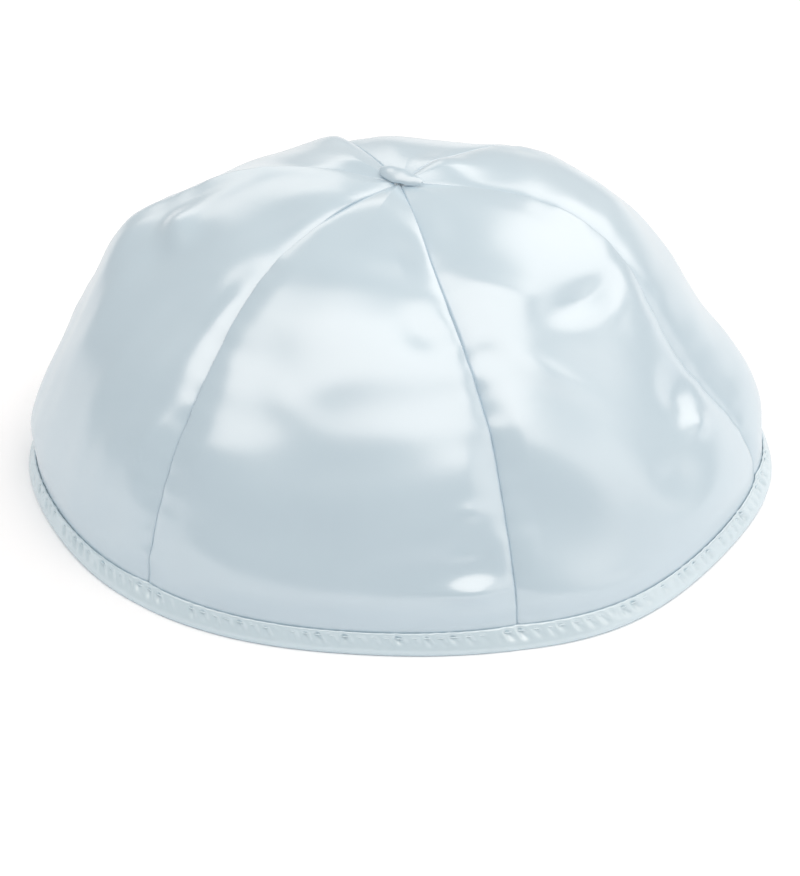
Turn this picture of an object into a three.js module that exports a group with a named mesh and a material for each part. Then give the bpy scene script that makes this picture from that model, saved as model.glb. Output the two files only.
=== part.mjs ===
// A six-gore satin kippah (skullcap), standing open side down on the hem.
//
// Six wedge-shaped gores of cloth are sewn edge to edge into a dome. A strip of the same satin is folded
// over their lower edge as a binding, and where the six points meet, the spare cloth stands up as a small
// tuck. The cap is hollow, and open below.
//
// Frame: millimetres, +Z up, +X to the wearer's left and -Y to the front. The origin is the middle of the
// hem's circle, on the surface that the cap rests on. Azimuths are in degrees from +X, anticlockwise seen
// from above.

import * as THREE from "three";

// Driving dimensions.
const HEM_RADIUS = 87;
const CROWN_HEIGHT = 75.5;
const CLOTH = 1.2;
const GAP = 0.3;
const BINDING_HEIGHT = 5.2;
const BINDING_CLOTH = 1.0;
const BINDING_FLOOR = 1.3;
const BINDING_EDGE = 0.4;
const TIP_RADIUS = 1.5;
const TUCK = { length: 12, width: 3.6, height: 2.2, sunk: 0.5, azimuth: -34, endRings: 4, sides: 12 };

// The dome's profile: how full the sides are, and how flat the top is. Both are 1 on an ellipse.
const SIDE_POWER = 0.84;
const TOP_POWER = 1.28;

// How finely the faceted cloth is cut.
const GORE_COLUMNS = 12;
const GORE_ROWS = 18;
const GORE_SPAN = 60;
const RING_SEGMENTS = (360 / GORE_SPAN) * GORE_COLUMNS;
const FIRST_SEAM = 48;

// The seams, anticlockwise from FIRST_SEAM. crownTurn and waistTurn are how far the seam strays round the cap
// near the crown and at the waist, in degrees. shoulder and waist are how far it stands out there, in
// millimetres.
const SEAMS = [
  { name: "back_right", crownTurn: 2, waistTurn: 0, shoulder: 2, waist: 0 },
  { name: "back_left", crownTurn: 4, waistTurn: 0, shoulder: -2, waist: 0 },
  { name: "left", crownTurn: -10, waistTurn: 0, shoulder: 4, waist: 4 },
  { name: "front_left", crownTurn: -6, waistTurn: 0, shoulder: 1.5, waist: 2 },
  { name: "front_right", crownTurn: -6, waistTurn: 0, shoulder: 0, waist: -1.5 },
  { name: "right", crownTurn: 8, waistTurn: -4.5, shoulder: 2.5, waist: -4 },
];

// The gores, each anticlockwise from the seam in the same row, with how far the cloth between
// the seams stands out at three heights, in millimetres.
const GORES = [
  { name: "gore_back", shoulder: -2, waist: 0, low: 1.5 },
  { name: "gore_back_left", shoulder: -0.5, waist: 2.5, low: 2 },
  { name: "gore_front_left", shoulder: 1.5, waist: 4, low: 2.3 },
  { name: "gore_front", shoulder: 2, waist: 2, low: 1.5 },
  { name: "gore_front_right", shoulder: 1, waist: 0, low: 1.5 },
  { name: "gore_back_right", shoulder: 2.4, waist: -0.6, low: 2 },
];

// The three heights, as a share of the way down from the crown to the hem, and how far each reaches.
const SHOULDER = { at: 0.3, reach: 0.17 };
const WAIST = { at: 0.6, reach: 0.17 };
const LOW = { at: 0.85, reach: 0.12 };

// The rounded corners of the hem, pushed out by the stiff ends of the seams, and the flatter front.
const HEM_CORNERS = [
  { azimuth: 48, push: 1.8, halfWidth: 18 },
  { azimuth: 108, push: 1.4, halfWidth: 18 },
  { azimuth: 182, push: 1.8, halfWidth: 15 },
  { azimuth: 228, push: 1.9, halfWidth: 20 },
  { azimuth: 264, push: -1.0, halfWidth: 14 },
  { azimuth: 302, push: 3, halfWidth: 17 },
  { azimuth: 352, push: 2.4, halfWidth: 15 },
];
const CORNER_STARTS = 0.45;

// The cap's main folds and dents. down is the share of the way from the crown to the hem. across and
// along are half sizes in millimetres, before turning by tilt degrees. rise is outwards.
const FOLDS = [
  { name: "left corner", azimuth: 174, down: 0.46, across: 14, along: 10, tilt: 0, rise: 4.5 },
  { name: "back crest", azimuth: 114, down: 0.24, across: 6, along: 11, tilt: 0, rise: 2 },
  { name: "front pinch", azimuth: 278, down: 0.34, across: 5, along: 5, tilt: 20, rise: -1 },
  { name: "right hollow", azimuth: 322, down: 0.35, across: 11, along: 7, tilt: 5, rise: -1 },
  { name: "right dimple", azimuth: 336, down: 0.61, across: 7, along: 6, tilt: 0, rise: -2 },
];

// The length of the profile from the crown to the hem, in millimetres.
const PROFILE_LENGTH = 125;

// The seams draw the cloth in by this much, fading with distance from the seam.
const SEAM_NOTCH = { depth: 1.2, reach: 3, endsFrom: 0.8 };

// How roundly each gore stands out between its seams, and the stretch over which the seams straighten.
const GORE_FULLNESS = 0.85;
const TURN_FROM = 0.05;
const TURN_TO = 0.6;
const TURN_WAIST = { at: 0.5, reach: 0.2 };

const SATIN = { color: 0xc3d5de, roughness: 0.38, metalness: 0 };

const { degToRad, smoothstep } = THREE.MathUtils;

const bell = (x, at, reach) => Math.exp(-(((x - at) / reach) ** 2));
const turnBetween = (a, b) => THREE.MathUtils.euclideanModulo(a - b + 180, 360) - 180;

// The share of the way down at which the dome's profile is this high, or this far from the axis.
const downAtHeight = (z) => (2 / Math.PI) * Math.acos((z / CROWN_HEIGHT) ** (1 / TOP_POWER));
const downAtRadius = (r) => (2 / Math.PI) * Math.asin((r / HEM_RADIUS) ** (1 / SIDE_POWER));
const profileRadius = (down) => HEM_RADIUS * Math.sin((down * Math.PI) / 2) ** SIDE_POWER;
const profileHeight = (down) => CROWN_HEIGHT * Math.max(0, Math.cos((down * Math.PI) / 2)) ** TOP_POWER;

function seamRise(seam, down) {
  const shoulder = seam.shoulder * bell(down, SHOULDER.at, SHOULDER.reach);
  const waist = seam.waist * bell(down, WAIST.at, WAIST.reach);
  return shoulder + waist;
}

function goreRise(gore, down) {
  const low = gore.low * bell(down, LOW.at, LOW.reach);
  return seamRise(gore, down) + low;
}

// How far the cloth of one gore stands out, and how far round the cap it strays, where across
// runs from 0 at the gore's own seam to 1 at the next one.
function goreShape(index, across, down) {
  const seam = SEAMS[index];
  const next = SEAMS[(index + 1) % SEAMS.length];
  const fullness = Math.max(0, Math.sin(Math.PI * across)) ** GORE_FULLNESS;
  const edge = THREE.MathUtils.lerp(seamRise(seam, down), seamRise(next, down), across);
  const fromSeam = Math.min(across, 1 - across) * degToRad(GORE_SPAN) * profileRadius(down);
  const notchEnds = 1 - smoothstep(down, SEAM_NOTCH.endsFrom, 1);
  const notch = SEAM_NOTCH.depth * Math.exp(-fromSeam / SEAM_NOTCH.reach) * notchEnds;
  const crownTurn = THREE.MathUtils.lerp(seam.crownTurn, next.crownTurn, across);
  const waistTurn = THREE.MathUtils.lerp(seam.waistTurn, next.waistTurn, across);
  const nearCrown = 1 - smoothstep(down, TURN_FROM, TURN_TO);
  const nearWaist = bell(down, TURN_WAIST.at, TURN_WAIST.reach);
  return {
    rise: edge * (1 - fullness) + goreRise(GORES[index], down) * fullness - notch,
    turn: crownTurn * nearCrown + waistTurn * nearWaist,
  };
}

function foldRise(azimuth, down) {
  let rise = 0;
  for (const fold of FOLDS) {
    const x = degToRad(turnBetween(azimuth, fold.azimuth)) * profileRadius(fold.down);
    const y = (down - fold.down) * PROFILE_LENGTH;
    const tilt = degToRad(fold.tilt);
    const p = x * Math.cos(tilt) + y * Math.sin(tilt);
    const q = y * Math.cos(tilt) - x * Math.sin(tilt);
    rise += fold.rise * bell(p, 0, fold.across) * bell(q, 0, fold.along);
  }
  return rise;
}

function cornerRise(azimuth, down) {
  let push = 0;
  for (const corner of HEM_CORNERS) {
    push += corner.push * bell(turnBetween(azimuth, corner.azimuth), 0, corner.halfWidth);
  }
  return push * smoothstep(down, CORNER_STARTS, 1);
}

// The point of one gore at this share of the way across and of the way down, offset millimetres outside the
// cloth's outer face. edgeShift moves it sideways, in millimetres.
function capPoint(index, across, down, offset, edgeShift = 0) {
  const azimuth = FIRST_SEAM + GORE_SPAN * (index + across);
  const radius = profileRadius(down);
  const height = profileHeight(down);
  const shape = goreShape(index, across, down);
  const normal = new THREE.Vector2(radius / HEM_RADIUS ** 2, height / CROWN_HEIGHT ** 2).normalize();
  const out = shape.rise + foldRise(azimuth, down) + cornerRise(azimuth, down) + offset;
  const r = radius + normal.x * out;
  const turned = degToRad(azimuth + shape.turn) + edgeShift / radius;
  return new THREE.Vector3(r * Math.cos(turned), r * Math.sin(turned), height + normal.y * out);
}

function bend(geometry, place) {
  const position = geometry.getAttribute("position");
  for (let i = 0; i < position.count; i++) {
    const bent = place(new THREE.Vector3().fromBufferAttribute(position, i));
    position.setXYZ(i, bent.x, bent.y, bent.z);
  }
  geometry.deleteAttribute("uv");
  geometry.computeVertexNormals();
  return geometry;
}

function satinMesh(name, geometry) {
  const mesh = new THREE.Mesh(geometry, new THREE.MeshStandardMaterial(SATIN));
  mesh.name = name;
  return mesh;
}

// One gore: a unit block whose x runs across the gore, y from the hem up to its tip and z through the cloth.
function makeGore(index) {
  const tip = downAtRadius(TIP_RADIUS);
  const hem = downAtHeight(BINDING_FLOOR + GAP);
  const block = new THREE.BoxGeometry(1, 1, 1, GORE_COLUMNS, GORE_ROWS, 1);
  const bent = bend(block, (p) => {
    const across = p.x + 0.5;
    const down = THREE.MathUtils.lerp(hem, tip, p.y + 0.5);
    const offset = (p.z - 0.5) * CLOTH;
    return capPoint(index, across, down, offset, -p.x * GAP);
  });
  return satinMesh(GORES[index].name, bent);
}

// The binding: a strip folded up round both faces of the hem, as a ring with a deep groove for the cloth.
// Its section is [how far outside the cloth's outer face, height], from the groove's outer wall round.
function makeBinding() {
  const outside = GAP + BINDING_CLOTH;
  const inside = -CLOTH - GAP - BINDING_CLOTH;
  const section = [
    [outside, 2 * BINDING_EDGE],
    [outside, BINDING_HEIGHT - BINDING_EDGE],
    [outside - BINDING_EDGE, BINDING_HEIGHT],
    [GAP, BINDING_HEIGHT],
    [GAP, BINDING_FLOOR],
    [-CLOTH - GAP, BINDING_FLOOR],
    [-CLOTH - GAP, BINDING_HEIGHT],
    [inside + BINDING_EDGE, BINDING_HEIGHT],
    [inside, BINDING_HEIGHT - BINDING_EDGE],
    [inside, 2 * BINDING_EDGE],
    [inside + BINDING_EDGE, 0],
    [outside - BINDING_EDGE, 0],
  ];
  const profile = [...section, section[0]].map(([offset, z]) => new THREE.Vector2(HEM_RADIUS + offset, z));
  const lathe = new THREE.LatheGeometry(profile, RING_SEGMENTS);
  const ring = bend(lathe, (p) => {
    const turn = THREE.MathUtils.euclideanModulo(Math.atan2(p.x, p.z) / (2 * Math.PI), 1);
    const step = Math.round(turn * RING_SEGMENTS) % RING_SEGMENTS;
    const index = Math.floor(step / GORE_COLUMNS);
    const across = (step % GORE_COLUMNS) / GORE_COLUMNS;
    const offset = Math.hypot(p.x, p.z) - HEM_RADIUS;
    return capPoint(index, across, downAtHeight(p.y), offset);
  });
  return satinMesh("hem_binding", ring);
}

// The tuck of spare cloth at the crown: a small rounded roll, lying across the point where the gores meet.
function makeTuck() {
  const roll = new THREE.CapsuleGeometry(TUCK.width / 2, TUCK.length - TUCK.width, TUCK.endRings, TUCK.sides);
  roll.rotateZ(Math.PI / 2);
  roll.scale(1, 1, TUCK.height / TUCK.width);
  const mesh = satinMesh("crown_tuck", roll);
  mesh.rotation.z = degToRad(TUCK.azimuth);
  mesh.position.z = CROWN_HEIGHT + TUCK.height / 2 - TUCK.sunk;
  return mesh;
}

const kippah = new THREE.Group();
for (let index = 0; index < GORES.length; index++) kippah.add(makeGore(index));
kippah.add(makeBinding());
kippah.add(makeTuck());

export default kippah;
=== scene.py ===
"""A six-gore satin kippah (skullcap), as it rests on its hem.

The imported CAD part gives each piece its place. Here each gore is a fine closed sheet of satin of the same
shape, with rolled seam edges, puckers and soft dents, over which go a stitched binding and a crown tuck.
Shapes are worked out in millimetres, and written to Blender in metres. Azimuths are in degrees from +X,
anticlockwise seen from above, and "down" is the share of the way from the crown to the hem.
"""

import math

import bpy
import numpy as np
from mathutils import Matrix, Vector


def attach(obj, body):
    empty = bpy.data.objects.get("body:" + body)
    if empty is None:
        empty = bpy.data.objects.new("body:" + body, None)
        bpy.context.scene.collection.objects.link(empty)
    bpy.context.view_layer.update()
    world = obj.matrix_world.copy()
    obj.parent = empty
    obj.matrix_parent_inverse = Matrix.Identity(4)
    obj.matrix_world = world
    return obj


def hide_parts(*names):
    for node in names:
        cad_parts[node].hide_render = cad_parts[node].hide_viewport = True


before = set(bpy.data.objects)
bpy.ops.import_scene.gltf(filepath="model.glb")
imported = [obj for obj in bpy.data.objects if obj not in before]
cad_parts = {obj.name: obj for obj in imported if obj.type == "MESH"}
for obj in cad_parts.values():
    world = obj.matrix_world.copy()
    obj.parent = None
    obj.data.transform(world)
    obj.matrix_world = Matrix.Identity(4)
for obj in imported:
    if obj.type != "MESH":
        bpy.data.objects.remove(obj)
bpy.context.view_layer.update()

MM = 0.001

# The cap's driving dimensions, the same as the CAD part's, in millimetres.
HEM_RADIUS = 87
CROWN_HEIGHT = 75.5
CLOTH = 1.2
PROFILE_LENGTH = 125
SIDE_POWER = 0.84
TOP_POWER = 1.28
GORE_SPAN = 60
FIRST_SEAM = 48

# The seams, anticlockwise from FIRST_SEAM. crown_turn and waist_turn are how far each strays round the cap
# near the crown and at the waist, in degrees. shoulder and waist are how far it stands out, in millimetres.
SEAMS = [
    {"name": "back_right", "crown_turn": 2, "waist_turn": 0, "shoulder": 2, "waist": 0},
    {"name": "back_left", "crown_turn": 4, "waist_turn": 0, "shoulder": -2, "waist": 0},
    {"name": "left", "crown_turn": -10, "waist_turn": 0, "shoulder": 4, "waist": 4},
    {"name": "front_left", "crown_turn": -6, "waist_turn": 0, "shoulder": 1.5, "waist": 2},
    {"name": "front_right", "crown_turn": -6, "waist_turn": 0, "shoulder": 0, "waist": -1.5},
    {"name": "right", "crown_turn": 8, "waist_turn": -4.5, "shoulder": 2.5, "waist": -4},
]

# The gores, each anticlockwise from the seam in the same row.
GORES = [
    {"name": "gore_back", "shoulder": -2, "waist": 0, "low": 1.5},
    {"name": "gore_back_left", "shoulder": -0.5, "waist": 2.5, "low": 2},
    {"name": "gore_front_left", "shoulder": 1.5, "waist": 4, "low": 2.3},
    {"name": "gore_front", "shoulder": 2, "waist": 2, "low": 1.5},
    {"name": "gore_front_right", "shoulder": 1, "waist": 0, "low": 1.5},
    {"name": "gore_back_right", "shoulder": 2.4, "waist": -0.6, "low": 2},
]

# Where each swell of the cloth is, and how far it reaches, as shares of the way down.
SHOULDER = {"at": 0.3, "reach": 0.17}
WAIST = {"at": 0.6, "reach": 0.17}
LOW = {"at": 0.85, "reach": 0.12}

# The hem's soft corners. push is outwards, in millimetres, and half_width is in degrees.
HEM_CORNERS = [
    {"azimuth": 48, "push": 1.8, "half_width": 18},
    {"azimuth": 108, "push": 1.4, "half_width": 18},
    {"azimuth": 182, "push": 1.8, "half_width": 15},
    {"azimuth": 228, "push": 1.9, "half_width": 20},
    {"azimuth": 264, "push": -1.0, "half_width": 14},
    {"azimuth": 302, "push": 3.0, "half_width": 17},
    {"azimuth": 352, "push": 2.4, "half_width": 15},
]
CORNER_STARTS = 0.45

# The CAD part's folds and dents. across and along are half sizes in millimetres, before turning by tilt
# degrees, and rise is outwards.
FOLDS = [
    {"name": "left corner", "azimuth": 174, "down": 0.46, "across": 14, "along": 10, "tilt": 0, "rise": 4.5},
    {"name": "back crest", "azimuth": 114, "down": 0.24, "across": 6, "along": 11, "tilt": 0, "rise": 2},
    {"name": "front pinch", "azimuth": 278, "down": 0.34, "across": 5, "along": 5, "tilt": 20, "rise": -1},
    {"name": "right hollow", "azimuth": 322, "down": 0.35, "across": 11, "along": 7, "tilt": 5, "rise": -1},
    {"name": "right dimple", "azimuth": 336, "down": 0.61, "across": 7, "along": 6, "tilt": 0, "rise": -2},
]

# The smaller dents and ridges in the satin, in the same columns. "low", "middle" and "upper" are the front
# gore's three puckers beside its right seam, and the drifts are faint slanting waves on the front and front
# right gores.
CREASES = [
    {"name": "seam pinch", "azimuth": 293, "down": 0.39, "across": 4, "along": 3, "tilt": 0, "rise": -0.6},
    {"name": "slant", "azimuth": 306, "down": 0.46, "across": 11, "along": 3.5, "tilt": 43, "rise": 0.8},
    {"name": "hollow", "azimuth": 325, "down": 0.365, "across": 10, "along": 3.2, "tilt": 3, "rise": -1.4},
    {"name": "lip", "azimuth": 332, "down": 0.41, "across": 5, "along": 2, "tilt": -10, "rise": 0.35},
    {"name": "corner", "azimuth": 289, "down": 0.54, "across": 4, "along": 4, "tilt": 30, "rise": 0.7},
    {"name": "low", "azimuth": 281, "down": 0.82, "across": 6.5, "along": 2.9, "tilt": 0, "rise": 2},
    {"name": "middle", "azimuth": 281, "down": 0.745, "across": 4.5, "along": 1.8, "tilt": 0, "rise": 0.25},
    {"name": "upper", "azimuth": 282, "down": 0.665, "across": 4, "along": 2, "tilt": 0, "rise": 0.5},
    {"name": "shoulder", "azimuth": 188, "down": 0.35, "across": 7, "along": 4, "tilt": 0, "rise": 1.9},
    {"name": "spot", "azimuth": 335, "down": 0.675, "across": 5, "along": 3, "tilt": 0, "rise": 1.2},
    {"name": "foot", "azimuth": 323, "down": 0.73, "across": 8, "along": 5, "tilt": 15, "rise": -0.9},
    {"name": "patch", "azimuth": 34, "down": 0.06, "across": 6, "along": 5, "tilt": 0, "rise": 1.6},
    {"name": "slope", "azimuth": 268, "down": 0.2, "across": 14, "along": 8, "tilt": 0, "rise": -0.8},
    {"name": "drift", "azimuth": 262, "down": 0.42, "across": 13, "along": 4, "tilt": -20, "rise": 0.18},
    {"name": "low drift", "azimuth": 249, "down": 0.5, "across": 10, "along": 4, "tilt": 30, "rise": 0.22},
    {"name": "far drift", "azimuth": 302, "down": 0.28, "across": 9, "along": 2.5, "tilt": 40, "rise": 0.3},
]

# Where one gore's edge laps over or under its neighbour's. side is 0 at its own seam and 1 at the next.
# rise fades over reach millimetres from the edge, and along the seam away from the place at.
LAPS = [
    {"gore": "gore_front", "side": 0, "rise": 0.7, "reach": 4, "at": 0.4, "along": 0.3},
    {"gore": "gore_front_left", "side": 1, "rise": -2.1, "reach": 10, "at": 0.26, "along": 0.15},
    {"gore": "gore_front", "side": 1, "rise": 0.8, "reach": 5, "at": 0.4, "along": 0.2},
    {"gore": "gore_front", "side": 1, "rise": 1.1, "reach": 6, "at": 0.13, "along": 0.1},
    {"gore": "gore_front_right", "side": 0, "rise": -1.3, "reach": 4, "at": 0.36, "along": 0.14},
    {"gore": "gore_front_right", "side": 1, "rise": 0.6, "reach": 3, "at": 0.35, "along": 0.25},
    {"gore": "gore_back_right", "side": 0, "rise": -0.5, "reach": 5, "at": 0.35, "along": 0.3},
    {"gore": "gore_front_left", "side": 0, "rise": 0.7, "reach": 4, "at": 0.3, "along": 0.25},
    {"gore": "gore_back_left", "side": 1, "rise": -0.7, "reach": 5, "at": 0.3, "along": 0.25},
    {"gore": "gore_front_left", "side": 1, "rise": -1.0, "reach": 2, "at": 0.13, "along": 0.05},
    {"gore": "gore_front_left", "side": 1, "rise": 2.2, "reach": 12, "at": 0.12, "along": 0.08},
]

# The notch that each seam lies in, how full the gores are between the seams, and where the seams' turns
# near the crown fade out and those at the waist are.
SEAM_NOTCH = {"depth": 1.2, "reach": 3, "ends_from": 0.8}
GORE_FULLNESS = 0.85
TURN_FROM = 0.05
TURN_TO = 0.6
TURN_WAIST = {"at": 0.5, "reach": 0.2}

# Each edge rolls over into its seam, by about crown millimetres above and hem below. from and to are where
# the one gives way to the other, as shares of the way down. Waves of these lengths vary it by up to the share
# uneven, and it is never more than the share most of the gore's half width. SEAM_GAP is how far apart the
# two gores' edges stand, in millimetres.
EDGE_ROLL = {
    "crown": 0.3, "hem": 0.13, "from": 0.35, "to": 0.6, "most": 0.3,
    "uneven": 0.45, "lengths": (11, 19, 31),
}
SEAM_GAP = 0.01

# The turned-in seam allowance thickens the cloth beside each seam, and ends in a step as wide as ease.
ALLOWANCE = {"width": 7, "extra": 0.7, "ease": 0.8}

# The ripples beside the seams, in millimetres. Each seam's ripples give way to the next seam's over the
# shares across in hand_over, and they start over the shares of the way down in start.
PUCKER = {
    "height": 0.07, "reach": 4.5, "lengths": (6.3, 9.7, 15.5),
    "hand_over": (0.45, 0.55), "start": (0.08, 0.3), "seed": 100,
}

# The random soft waves, in millimetres, which fade in over seam_ease from the seams.
SOFT_WAVES = {"count": 14, "shortest": 9, "longest": 50, "height": 0.24, "seam_ease": 8, "seed": 10}

# Where the laps fade in, and where all the fine relief fades out, as shares of the way down.
LAPS_START = (0, 0.08)
RELIEF_ENDS = (0.84, 0.915)

# The stitching draws the cloth in just above the binding, which the CAD part leaves out. depth is in
# millimetres, and the others are shares of the way down.
HEM_DRAW = {"depth": 1.5, "at": 0.92, "reach": 0.05}

# How finely the gores and the binding are cut. EDGE_CROWDING is the share of the columns' spacing that
# crowds them towards the seams.
COLUMNS = 120
ROWS = 150
RING_STEPS = 1080
EDGE_CROWDING = 0.45

# The gores start TIP_RADIUS from the crown's middle, and end GORE_FOOT above the floor.
TIP_RADIUS = 0.4
GORE_FOOT = 1.6

# The camera: its elevation in degrees and its distance, as seen from the point set_on, and the point aim
# that it is turned towards, in millimetres.
CAMERA = {"elevation": 30, "distance": 1000, "set_on": (0, 0, 35), "aim": (0, -13, 12.45), "lens": 172}

# The studio's lamps are soft panels, in metres, with power in watts for each square metre.
LAMPS = [
    {"name": "overhead", "place": (-0.05, -0.32, 1.1), "width": 2.1, "depth": 1.05, "power": 6},
    {"name": "right_back", "place": (0.85, 0.8, 0.94), "width": 1.3, "depth": 1.0, "power": 5.4},
    {"name": "back", "place": (-0.36, 1.32, 0.64), "width": 0.7, "depth": 0.5, "power": 4.2},
    {"name": "right_fill", "place": (1.75, -0.45, 0.68), "width": 1.5, "depth": 1.2, "power": 2.9},
]
LAMP_COLOUR = (1, 0.905, 0.835)
WORLD_STRENGTH = 0.45
FLOOR = {"half": 4, "colour": (0.93, 0.96, 0.99, 1), "roughness": 0.9}

# The satin's colours and roughness, for the gores and, painted lighter as painted light, for the binding
# strip;
# the gloss and sheen that they share, the slow drift between face and shade, and the weave's bump, whose
# scale is across and then along the threads, with its depth in metres.
SATIN_FACE = {"face": (0.50, 0.632, 0.718), "shade": (0.462, 0.59, 0.68), "roughness": 0.26}
# The strip's colours are the same satin painted lighter than the gores': painted light on the binding and its
# stitches.
SATIN_STRIP_PAINTED_LIGHT = {"face": (0.575, 0.705, 0.77), "shade": (0.52, 0.655, 0.73), "roughness": 0.27}
SATIN_GLOSS = {
    "IOR": 1.8,
    "Specular IOR Level": 1.0,
    "Anisotropic": 0.3,
    "Sheen Weight": 0.15,
    "Sheen Roughness": 0.4,
}
TINT = {"scale": 45, "detail": 3}
WEAVE = {"scale": (5200, 900, 1), "detail": 2, "strength": 0.12, "depth": 0.00006}


def bell(x, at, reach):
    """A smooth bump of height 1."""
    return np.exp(-(((x - at) / reach) ** 2))


def smoothstep(x, low, high):
    """A smooth rise from 0 at low to 1 at high."""
    t = np.clip((x - low) / (high - low), 0, 1)
    return t * t * (3 - 2 * t)


def turn_between(a, b):
    """The shorter way round from b to a, in degrees."""
    return (a - b + 180) % 360 - 180


def down_at_height(z):
    return 2 / np.pi * np.arccos((np.asarray(z, float) / CROWN_HEIGHT) ** (1 / TOP_POWER))


def down_at_radius(r):
    return 2 / np.pi * np.arcsin((r / HEM_RADIUS) ** (1 / SIDE_POWER))


def profile(down):
    """The dome's radius and height at each share of the way down."""
    angle = down * np.pi / 2
    radius = HEM_RADIUS * np.sin(angle) ** SIDE_POWER
    height = CROWN_HEIGHT * np.maximum(0, np.cos(angle)) ** TOP_POWER
    return radius, height


def seam_rise(row, down):
    """How far a seam, or the middle of a gore, stands out at the shoulder and the waist, in millimetres."""
    shoulder = row["shoulder"] * bell(down, SHOULDER["at"], SHOULDER["reach"])
    waist = row["waist"] * bell(down, WAIST["at"], WAIST["reach"])
    return shoulder + waist


def from_seam(across, down):
    """The distance to the nearer seam, in millimetres."""
    return np.minimum(across, 1 - across) * np.radians(GORE_SPAN) * profile(down)[0]


def gore_shape(index, across, down):
    """How far one gore's cloth stands out, in millimetres, and how far it strays round, in degrees."""
    seam = SEAMS[index]
    following = SEAMS[(index + 1) % len(SEAMS)]
    gore = GORES[index]
    fullness = np.maximum(0, np.sin(np.pi * across)) ** GORE_FULLNESS
    edge = seam_rise(seam, down) * (1 - across) + seam_rise(following, down) * across
    middle = seam_rise(gore, down) + gore["low"] * bell(down, LOW["at"], LOW["reach"])
    notch = SEAM_NOTCH["depth"] * np.exp(-from_seam(across, down) / SEAM_NOTCH["reach"])
    notch = notch * (1 - smoothstep(down, SEAM_NOTCH["ends_from"], 1))
    crown_turn = seam["crown_turn"] * (1 - across) + following["crown_turn"] * across
    waist_turn = seam["waist_turn"] * (1 - across) + following["waist_turn"] * across
    near_crown = 1 - smoothstep(down, TURN_FROM, TURN_TO)
    near_waist = bell(down, TURN_WAIST["at"], TURN_WAIST["reach"])
    rise = edge * (1 - fullness) + middle * fullness - notch
    return rise, crown_turn * near_crown + waist_turn * near_waist


def fold_rise(folds, azimuth, down):
    """How far the folds in a table push the cloth out, in millimetres."""
    rise = 0
    for fold in folds:
        x = np.radians(turn_between(azimuth, fold["azimuth"])) * profile(fold["down"])[0]
        y = (down - fold["down"]) * PROFILE_LENGTH
        tilt = math.radians(fold["tilt"])
        p = x * math.cos(tilt) + y * math.sin(tilt)
        q = y * math.cos(tilt) - x * math.sin(tilt)
        rise = rise + fold["rise"] * bell(p, 0, fold["across"]) * bell(q, 0, fold["along"])
    return rise


def corner_rise(azimuth, down):
    """How far the hem's corners push the cloth out, in millimetres."""
    push = sum(c["push"] * bell(turn_between(azimuth, c["azimuth"]), 0, c["half_width"]) for c in HEM_CORNERS)
    return push * smoothstep(down, CORNER_STARTS, 1)


def waves(x, y, seed):
    """Soft, even-handed unevenness: a few plane waves in directions of their own."""
    rng = np.random.default_rng(seed)
    total = 0
    for _ in range(SOFT_WAVES["count"]):
        length = rng.uniform(SOFT_WAVES["shortest"], SOFT_WAVES["longest"])
        heading = rng.uniform(0, np.pi)
        phase = rng.uniform(0, 2 * np.pi)
        run = x * np.cos(heading) + y * np.sin(heading)
        total = total + np.sin(2 * np.pi * run / length + phase) * length / SOFT_WAVES["longest"]
    return total * SOFT_WAVES["height"]


def puckers(index, across, down):
    """Short ripples square to the seams, where the thread draws the cloth up."""
    along = down * PROFILE_LENGTH
    near = np.exp(-from_seam(across, down) / PUCKER["reach"])
    ripple = 0
    for side, seam in ((1 - across, index), (across, (index + 1) % len(SEAMS))):
        rng = np.random.default_rng(PUCKER["seed"] + seam)
        share = smoothstep(side, *PUCKER["hand_over"])
        for length in PUCKER["lengths"]:
            phase = rng.uniform(0, 2 * np.pi)
            ripple = ripple + share * np.sin(2 * np.pi * along / length + phase)
    return PUCKER["height"] * near * ripple * smoothstep(down, *PUCKER["start"])


def lap_rise(index, across, down, inner):
    """How far the gore's edges stand over or under their neighbours'.

    The inner face takes the laps that sink, from both gores at each seam, so that no slit opens between them.
    """
    width = np.radians(GORE_SPAN) * profile(down)[0]
    rise = 0
    for lap in LAPS:
        owner = next(k for k, gore in enumerate(GORES) if gore["name"] == lap["gore"])
        seam = (owner + lap["side"]) % len(SEAMS)
        taken = lap["rise"] < 0 if inner else owner == index
        if taken and seam in (index, (index + 1) % len(SEAMS)):
            away = (across if seam == index else 1 - across) * width
            rise = rise + lap["rise"] * np.exp(-away / lap["reach"]) * bell(down, lap["at"], lap["along"])
    return rise * smoothstep(down, *LAPS_START)


def relief(index, across, down, inner):
    """What the fine satin adds to the CAD part's shape."""
    x = (across - 0.5) * np.radians(GORE_SPAN) * profile(down)[0]
    soft = waves(x, down * PROFILE_LENGTH, SOFT_WAVES["seed"] + index)
    soft = soft * smoothstep(from_seam(across, down), 0, SOFT_WAVES["seam_ease"])
    added = soft + puckers(index, across, down) + lap_rise(index, across, down, inner)
    return added * (1 - smoothstep(down, *RELIEF_ENDS))


def edge_drop(across, down):
    """How far the cloth's face drops as the edge rolls over into its seam."""
    half_width = 0.5 * np.radians(GORE_SPAN) * profile(down)[0]
    lengths = EDGE_ROLL["lengths"]
    uneven = sum(np.sin(2 * np.pi * down * PROFILE_LENGTH / length) for length in lengths) / len(lengths)
    lower = smoothstep(down, EDGE_ROLL["from"], EDGE_ROLL["to"])
    roll = EDGE_ROLL["crown"] + (EDGE_ROLL["hem"] - EDGE_ROLL["crown"]) * lower
    roll = np.minimum(roll * (1 + EDGE_ROLL["uneven"] * uneven), EDGE_ROLL["most"] * half_width)
    left = np.clip(1 - from_seam(across, down) / roll, 0, 1)
    return roll * (1 - np.sqrt(1 - left**2))


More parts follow.
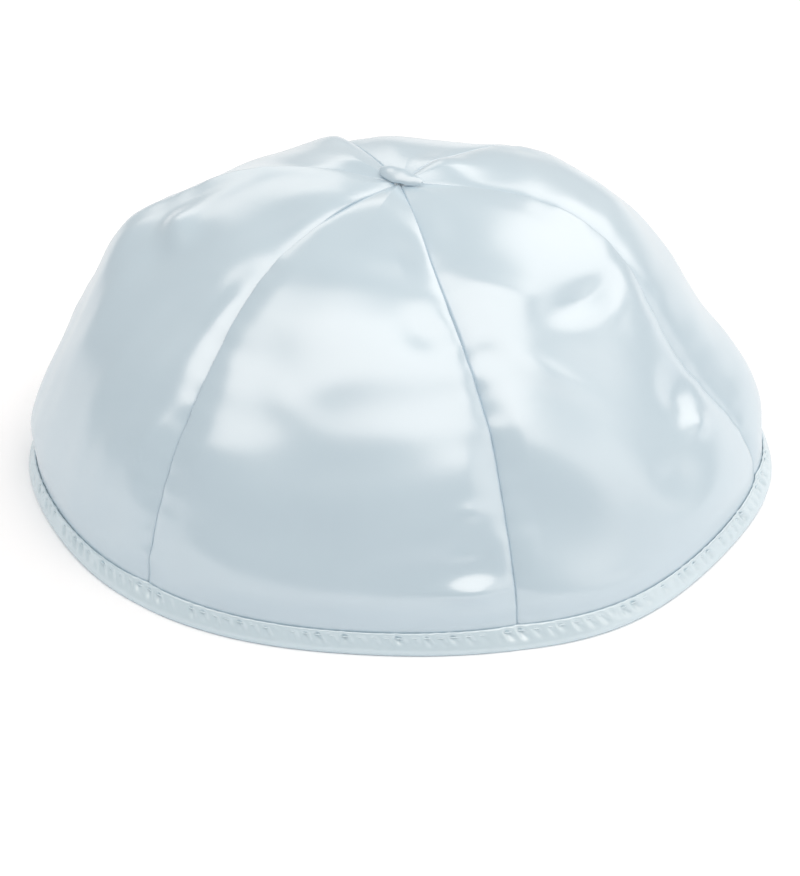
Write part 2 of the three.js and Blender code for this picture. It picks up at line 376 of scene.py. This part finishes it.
def cap_points(index, across, down, offset, fine=True, inner=False, edge_shift=0):
    """The points of one gore, offset millimetres outside its face, in metres.

    Without fine, they are on the plain shape that the binding follows.
    """
    azimuth = FIRST_SEAM + GORE_SPAN * (index + across)
    radius, height = profile(down)
    rise, turn = gore_shape(index, across, down)
    drawn = HEM_DRAW["depth"] * bell(down, HEM_DRAW["at"], HEM_DRAW["reach"])
    out = rise + fold_rise(FOLDS, azimuth, down) + corner_rise(azimuth, down) - drawn + offset
    if fine:
        creases = fold_rise(CREASES, azimuth, down) * (1 - smoothstep(down, *RELIEF_ENDS))
        out = out + relief(index, across, down, inner) + creases
    normal_r = radius / HEM_RADIUS**2
    normal_z = height / CROWN_HEIGHT**2
    steep = np.hypot(normal_r, normal_z)
    r = radius + normal_r / steep * out
    turned = np.radians(azimuth + turn) + edge_shift / radius
    z = height + normal_z / steep * out
    return np.stack([r * np.cos(turned), r * np.sin(turned), z], -1) * MM


def ring_points(azimuth, offset, z):
    """Points round the hem, offset millimetres outside the cloth's face at these heights."""
    place = ((azimuth - FIRST_SEAM) % 360) / GORE_SPAN
    points = np.zeros(np.broadcast(azimuth, offset, z).shape + (3,))
    place, offset, z = np.broadcast_arrays(place, offset, z)
    down = down_at_height(np.maximum(z, 0))
    for index in range(len(GORES)):
        mine = np.floor(place).astype(int) % len(GORES) == index
        points[mine] = cap_points(index, place[mine] - index, down[mine], offset[mine], fine=False)
    return points


def add_mesh(name, points, quads, material, uv=None):
    """A smooth-shaded mesh object, with uv given for each point in metres."""
    mesh = bpy.data.meshes.new(name)
    mesh.vertices.add(len(points))
    mesh.vertices.foreach_set("co", points.astype(np.float32).ravel())
    mesh.loops.add(quads.size)
    mesh.loops.foreach_set("vertex_index", quads.astype(np.int32).ravel())
    mesh.polygons.add(len(quads))
    mesh.polygons.foreach_set("loop_start", np.arange(0, quads.size, 4, dtype=np.int32))
    mesh.update(calc_edges=True)
    mesh.polygons.foreach_set("use_smooth", np.ones(len(quads), dtype=bool))
    if uv is not None:
        corners = np.zeros(len(mesh.loops), dtype=np.int32)
        mesh.loops.foreach_get("vertex_index", corners)
        mesh.uv_layers.new(name="cloth").data.foreach_set("uv", uv[corners].ravel().astype(np.float32))
    mesh.materials.append(material)
    mesh.update()
    piece = bpy.data.objects.new(name, mesh)
    bpy.context.scene.collection.objects.link(piece)
    return piece


def grid_quads(rows, columns, start=0, wrap=False, flip=False):
    """The quads of a grid of points, numbered row by row from start."""
    across = columns if wrap else columns - 1
    i, j = np.meshgrid(np.arange(rows - 1), np.arange(across), indexing="ij")
    following = (j + 1) % columns
    quads = np.stack([i * columns + j, i * columns + following,
                      (i + 1) * columns + following, (i + 1) * columns + j], -1).reshape(-1, 4) + start
    return quads[:, ::-1] if flip else quads


def rim_quads(rows, columns):
    """The quads that join the edges of two grids of the same size, the second numbered after the first."""
    top = np.arange(columns)
    right = np.arange(rows) * columns + columns - 1
    bottom = (rows - 1) * columns + np.arange(columns)[::-1]
    left = np.arange(rows)[::-1] * columns
    edge = np.concatenate([top[:-1], right[:-1], bottom[:-1], left[:-1]])
    following = np.roll(edge, -1)
    under = rows * columns
    return np.stack([edge, edge + under, following + under, following], -1)


def tube_quads(rings, sides, start=0):
    """The quads of a tube of rings with an even number of sides, closed at both ends."""
    walls = grid_quads(rings, sides, start=start, wrap=True)
    steps = np.arange(sides // 2 - 1)
    cap = np.stack([steps, steps + 1, sides - 2 - steps, sides - 1 - steps], -1) + start
    return np.concatenate([walls, cap[:, ::-1], cap + (rings - 1) * sides])


def make_gore(index, material):
    """One gore: an outer and an inner face of cloth, joined round their edge."""
    step = np.linspace(0, 1, COLUMNS)
    crowded = (1 - np.cos(np.pi * step)) / 2
    across = (EDGE_CROWDING * crowded + (1 - EDGE_CROWDING) * step)[None, :]
    down = np.linspace(down_at_radius(TIP_RADIUS), down_at_height(GORE_FOOT), ROWS)[:, None]
    across, down = np.broadcast_arrays(across, down)
    shift = (0.5 - across) * SEAM_GAP
    outer = cap_points(index, across, down, -edge_drop(across, down), edge_shift=shift)
    full_width = ALLOWANCE["width"] - ALLOWANCE["ease"]
    near = 1 - smoothstep(from_seam(across, down), full_width, ALLOWANCE["width"])
    under = -CLOTH - ALLOWANCE["extra"] * near
    inner = cap_points(index, across, down, under, inner=True, edge_shift=shift)
    x = (across - 0.5) * np.radians(GORE_SPAN) * profile(down)[0] * MM
    y = down * PROFILE_LENGTH * MM
    uv = np.stack([x, y], -1).reshape(-1, 2)
    points = np.concatenate([outer.reshape(-1, 3), inner.reshape(-1, 3)])
    quads = np.concatenate([
        grid_quads(ROWS, COLUMNS, flip=True),
        grid_quads(ROWS, COLUMNS, start=ROWS * COLUMNS),
        rim_quads(ROWS, COLUMNS)[:, ::-1],
    ])
    return add_mesh(GORES[index]["name"] + "_satin", points, quads, material, np.concatenate([uv, uv]))


# The binding's section: how far outside the cloth's outer face, and how high, in millimetres, from the
# outer leg's upper edge down, under the hem, and up to the inner leg's upper edge.
BINDING_SECTION = [
    {"out": 0.05, "z": 2.6},
    {"out": 0.06, "z": 4.5},
    {"out": 0.14, "z": 5.1},
    {"out": 0.42, "z": 5.3},
    {"out": 0.74, "z": 4.95},
    {"out": 0.92, "z": 4.15},
    {"out": 1.0, "z": 3.3},
    {"out": 1.05, "z": 2.2},
    {"out": 1.0, "z": 1.0},
    {"out": 0.65, "z": 0.25},
    {"out": 0.2, "z": 0.0},
    {"out": -1.4, "z": 0.0},
    {"out": -2.1, "z": 0.25},
    {"out": -2.5, "z": 1.0},
    {"out": -2.55, "z": 2.2},
    {"out": -2.3, "z": 3.3},
    {"out": -1.98, "z": 4.15},
    {"out": -2.15, "z": 4.9},
    {"out": -1.85, "z": 5.35},
    {"out": -1.4, "z": 5.3},
    {"out": -1.26, "z": 4.6},
    {"out": -1.25, "z": 2.6},
    {"out": -1.2, "z": 1.5},
    {"out": 0.0, "z": 1.5},
]
SECTION_STEPS = 3

# The section's points whose out is between these two lie against the gores or under them, and have no
# puckers.
AGAINST_GORES = {"from": -1.3, "to": 0.1}

# The topstitches, in millimetres. out and in are where the two rings lie, measured outwards from the cloth's
# outer face. blunt keeps their ends from closing to a point.
STITCH = {
    "count": 176, "length": 2.5, "thick": 0.34, "height": 4.15, "out": 0.62, "in": -2.06,
    "sides": 6, "rings": 5, "blunt": 0.04,
}

# Each stitch draws the binding in by about depth, which fades in between the heights from and full, and by
# edge_ease less over the ease_over above the stitches. slant is the puckers' lean, as a share of their
# spacing, over slant_over millimetres. The waves in uneven, so many to a turn, move the puckers by up to
# stray of their spacing and change their depth by up to vary of it.
BINDING_PUCKER = {
    "depth": 0.42, "from": 1.6, "full": 3.6, "slant": 0.9, "slant_over": 4,
    "edge_ease": 0.75, "ease_over": 1,
    "uneven": (23, 37, 58, 91, 133), "stray": 0.25, "vary": 1.5, "seed": 40,
}

# The tuck of cloth at the crown, in millimetres and degrees: its size, how finely it is cut, how its ends
# are rounded, how it bows, leans and tips, and the crease along its side, as a share of its thickness.
TUCK = {
    "length": 12, "width": 3.6, "height": 2.2, "sunk": 0.5, "azimuth": -34,
    "rings": 60, "sides": 48,
    "blunt": 0.02, "rounding": 0.4, "middle": 0.86, "narrowing": 0.14,
    "bow": 0.5, "lean": 0.2, "tip": 0.6,
    "crease": 0.22, "crease_at": 215, "crease_turn": 12, "crease_reach": 22,
}

# The tuck's unevenness. height is a share of its thickness, around is how many waves go round it, and along
# is how far their phase moves over half its length, in radians.
TUCK_SLACK = [
    {"height": 0.05, "around": 3, "along": 4},
    {"height": 0.04, "around": 1, "along": 9},
]


def smooth_loop(rows, steps):
    """A closed curve through the rows, with this many points for each."""
    control = np.array([[row["out"], row["z"]] for row in rows], float)
    points = []
    for i in range(len(control)):
        a, b, c, d = (control[(i + k) % len(control)] for k in (-1, 0, 1, 2))
        for t in np.arange(steps) / steps:
            points.append(0.5 * (2 * b + (c - a) * t + (2 * a - 5 * b + 4 * c - d) * t**2
                                 + (3 * b - a - 3 * c + d) * t**3))
    return np.array(points)


def make_binding(material):
    """The strip folded up round the hem, drawn in at each stitch and a little slack between them."""
    section = smooth_loop(BINDING_SECTION, SECTION_STEPS)
    turn = (np.arange(RING_STEPS) / RING_STEPS)[:, None]
    out, z = section[None, :, 0], np.maximum(section[None, :, 1], 0)
    rng = np.random.default_rng(BINDING_PUCKER["seed"])
    counts = BINDING_PUCKER["uneven"]
    slack = sum(np.sin(2 * np.pi * (turn * count + rng.uniform())) for count in counts) / len(counts)
    leg = smoothstep(z, BINDING_PUCKER["from"], BINDING_PUCKER["full"])
    upper = smoothstep(z, STITCH["height"], STITCH["height"] + BINDING_PUCKER["ease_over"])
    leg = leg * (1 - BINDING_PUCKER["edge_ease"] * upper)
    slant = BINDING_PUCKER["slant"] * (z - STITCH["height"]) / BINDING_PUCKER["slant_over"]
    phase = turn * STITCH["count"] + slant + BINDING_PUCKER["stray"] * slack
    at_stitch = np.cos(np.pi * phase) ** 2
    puff = -BINDING_PUCKER["depth"] * leg * at_stitch * (1 + BINDING_PUCKER["vary"] * slack)
    outward = np.where(out > -CLOTH / 2, 1, -1)
    hidden = (out < AGAINST_GORES["to"]) & (out > AGAINST_GORES["from"])
    azimuth = turn * 360
    points = ring_points(azimuth, out + outward * np.where(hidden, 0, puff), z)
    columns = len(section)
    quads = grid_quads(RING_STEPS + 1, columns, wrap=True) % (RING_STEPS * columns)
    length = 2 * np.pi * HEM_RADIUS
    steps = np.linalg.norm(np.diff(section, axis=0), axis=1)
    round_section = np.concatenate([[0], np.cumsum(steps)])
    uv = np.stack(np.broadcast_arrays(turn * length, round_section[None, :]), -1).reshape(-1, 2) * MM
    return add_mesh("hem_binding_satin", points.reshape(-1, 3), quads, material, uv)


def make_stitches(name, out, material):
    """A ring of short thread stitches, half sunk in the binding."""
    sides, rings = STITCH["sides"], STITCH["rings"]
    half_turn = np.degrees(STITCH["length"] / 2 / HEM_RADIUS)
    points, quads = [], []
    for k in range(STITCH["count"]):
        azimuth = 360 * k / STITCH["count"]
        for row in range(rings):
            share = row / (rings - 1) * 2 - 1
            thick = STITCH["thick"] / 2 * math.sqrt(max(STITCH["blunt"], 1 - share**2))
            angle = 2 * np.pi * np.arange(sides) / sides
            offset = out + thick * np.cos(angle)
            height = STITCH["height"] + thick * np.sin(angle)
            points.append(ring_points(np.full(sides, azimuth + share * half_turn), offset, height))
        quads.append(tube_quads(rings, sides, k * rings * sides)[:, ::-1])
    return add_mesh(name, np.concatenate(points), np.concatenate(quads), material)


def make_tuck(material):
    """The tuck at the crown: a soft fold of cloth with a crease along it, narrowing to its far end."""
    along = np.linspace(-1, 1, TUCK["rings"])[:, None]
    angle = (2 * np.pi * np.arange(TUCK["sides"]) / TUCK["sides"])[None, :]
    along, angle = np.broadcast_arrays(along, angle)
    ends = np.maximum(TUCK["blunt"], 1 - along**2) ** TUCK["rounding"]
    taper = ends * (TUCK["middle"] - TUCK["narrowing"] * along)
    from_crease = turn_between(np.degrees(angle), TUCK["crease_at"] + TUCK["crease_turn"] * along)
    crease = 1 - TUCK["crease"] * bell(from_crease, 0, TUCK["crease_reach"])
    slack = 1
    for wave in TUCK_SLACK:
        slack = slack + wave["height"] * np.sin(wave["around"] * angle + wave["along"] * along)
    y = TUCK["width"] / 2 * taper * crease * slack * np.cos(angle)
    z = TUCK["height"] / 2 * taper * crease * slack * np.sin(angle)
    x = TUCK["length"] / 2 * along
    y = y + TUCK["bow"] * along**2 + TUCK["lean"] * z
    z = z + TUCK["tip"] * (y - TUCK["bow"] * along**2)
    turn = math.radians(TUCK["azimuth"])
    middle = CROWN_HEIGHT + TUCK["height"] / 2 - TUCK["sunk"]
    points = np.stack([x * math.cos(turn) - y * math.sin(turn),
                       x * math.sin(turn) + y * math.cos(turn), middle + z], -1) * MM
    uv = np.stack([x, angle * TUCK["width"] / 2], -1).reshape(-1, 2) * MM
    quads = tube_quads(TUCK["rings"], TUCK["sides"])
    return add_mesh("crown_tuck_satin", points.reshape(-1, 3), quads, material, uv)


def satin(name, look):
    """Woven satin: its colour, weave and gloss all come from nodes."""
    material = bpy.data.materials.new(name)
    material.use_nodes = True
    nodes, links = material.node_tree.nodes, material.node_tree.links
    shader = nodes["Principled BSDF"]
    shader.inputs["Roughness"].default_value = look["roughness"]
    for socket, value in SATIN_GLOSS.items():
        shader.inputs[socket].default_value = value
    place = nodes.new("ShaderNodeUVMap")
    place.uv_map = "cloth"
    tint = nodes.new("ShaderNodeTexNoise")
    tint.inputs["Scale"].default_value = TINT["scale"]
    tint.inputs["Detail"].default_value = TINT["detail"]
    mix = nodes.new("ShaderNodeMix")
    mix.data_type = "RGBA"
    # A mix node's colours are its inputs 6 and 7, and their mix is its output 2.
    mix.inputs[6].default_value = (*look["face"], 1)
    mix.inputs[7].default_value = (*look["shade"], 1)
    links.new(place.outputs["UV"], tint.inputs["Vector"])
    links.new(tint.outputs["Fac"], mix.inputs[0])
    links.new(mix.outputs[2], shader.inputs["Base Color"])
    weave = nodes.new("ShaderNodeTexNoise")
    weave.inputs["Scale"].default_value = 1
    weave.inputs["Detail"].default_value = WEAVE["detail"]
    stretch = nodes.new("ShaderNodeMapping")
    stretch.inputs["Scale"].default_value = WEAVE["scale"]
    bump = nodes.new("ShaderNodeBump")
    bump.inputs["Strength"].default_value = WEAVE["strength"]
    bump.inputs["Distance"].default_value = WEAVE["depth"]
    links.new(place.outputs["UV"], stretch.inputs["Vector"])
    links.new(stretch.outputs["Vector"], weave.inputs["Vector"])
    links.new(weave.outputs["Fac"], bump.inputs["Height"])
    links.new(bump.outputs["Normal"], shader.inputs["Normal"])
    return material


def make_camera():
    """The camera comes first, at the angle the cap is seen from."""
    data = bpy.data.cameras.new("camera")
    data.lens = CAMERA["lens"]
    camera = bpy.data.objects.new("camera", data)
    high = math.radians(CAMERA["elevation"])
    back = Vector((0, -math.cos(high), math.sin(high))) * CAMERA["distance"]
    camera.location = (Vector(CAMERA["set_on"]) + back) * MM
    view = Vector(CAMERA["aim"]) * MM - camera.location
    camera.rotation_euler = view.to_track_quat("-Z", "Y").to_euler()
    data.clip_start = 0.05
    bpy.context.scene.collection.objects.link(camera)
    bpy.context.scene.camera = camera


def add_lamp(lamp):
    """A soft panel turned towards the cap."""
    data = bpy.data.lights.new(lamp["name"], "AREA")
    data.shape = "RECTANGLE"
    data.size = lamp["width"]
    data.size_y = lamp["depth"]
    data.energy = lamp["power"] * lamp["width"] * lamp["depth"]
    data.color = LAMP_COLOUR
    light = bpy.data.objects.new(lamp["name"], data)
    light.location = lamp["place"]
    light.rotation_euler = (-light.location).to_track_quat("-Z", "Y").to_euler()
    bpy.context.scene.collection.objects.link(light)


def make_floor():
    """The plain pale floor."""
    half = FLOOR["half"]
    corners = [(-half, -half, 0), (half, -half, 0), (half, half, 0), (-half, half, 0)]
    plane = bpy.data.meshes.new("floor")
    plane.from_pydata(corners, [], [(0, 1, 2, 3)])
    material = bpy.data.materials.new("floor_white")
    material.use_nodes = True
    shader = material.node_tree.nodes["Principled BSDF"]
    shader.inputs["Base Color"].default_value = FLOOR["colour"]
    shader.inputs["Roughness"].default_value = FLOOR["roughness"]
    plane.materials.append(material)
    floor = bpy.data.objects.new("floor", plane)
    bpy.context.scene.collection.objects.link(floor)


def make_studio():
    """An even white world, the lamps and the floor."""
    world = bpy.data.worlds.new("studio")
    bpy.context.scene.world = world
    world.use_nodes = True
    background = world.node_tree.nodes["Background"]
    background.inputs["Color"].default_value = (1, 1, 1, 1)
    background.inputs["Strength"].default_value = WORLD_STRENGTH
    for lamp in LAMPS:
        add_lamp(lamp)
    make_floor()
    bpy.context.scene.view_settings.view_transform = "Standard"


def main():
    make_camera()
    make_studio()
    cloth = satin("satin_face", SATIN_FACE)
    # The binding and its stitches take the strip satin, painted lighter than the gores' satin as painted
    # light.
    strip = satin("satin_strip_painted_light", SATIN_STRIP_PAINTED_LIGHT)
    for index, gore in enumerate(GORES):
        piece = make_gore(index, cloth)
        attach(piece, "root")
        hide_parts(gore["name"])
    binding = make_binding(strip)
    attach(binding, "root")
    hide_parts("hem_binding")
    for name, out in (("topstitch_outside", STITCH["out"]), ("topstitch_inside", STITCH["in"])):
        piece = make_stitches(name, out, strip)
        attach(piece, "root")
    tuck = make_tuck(cloth)
    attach(tuck, "root")
    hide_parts("crown_tuck")


main()
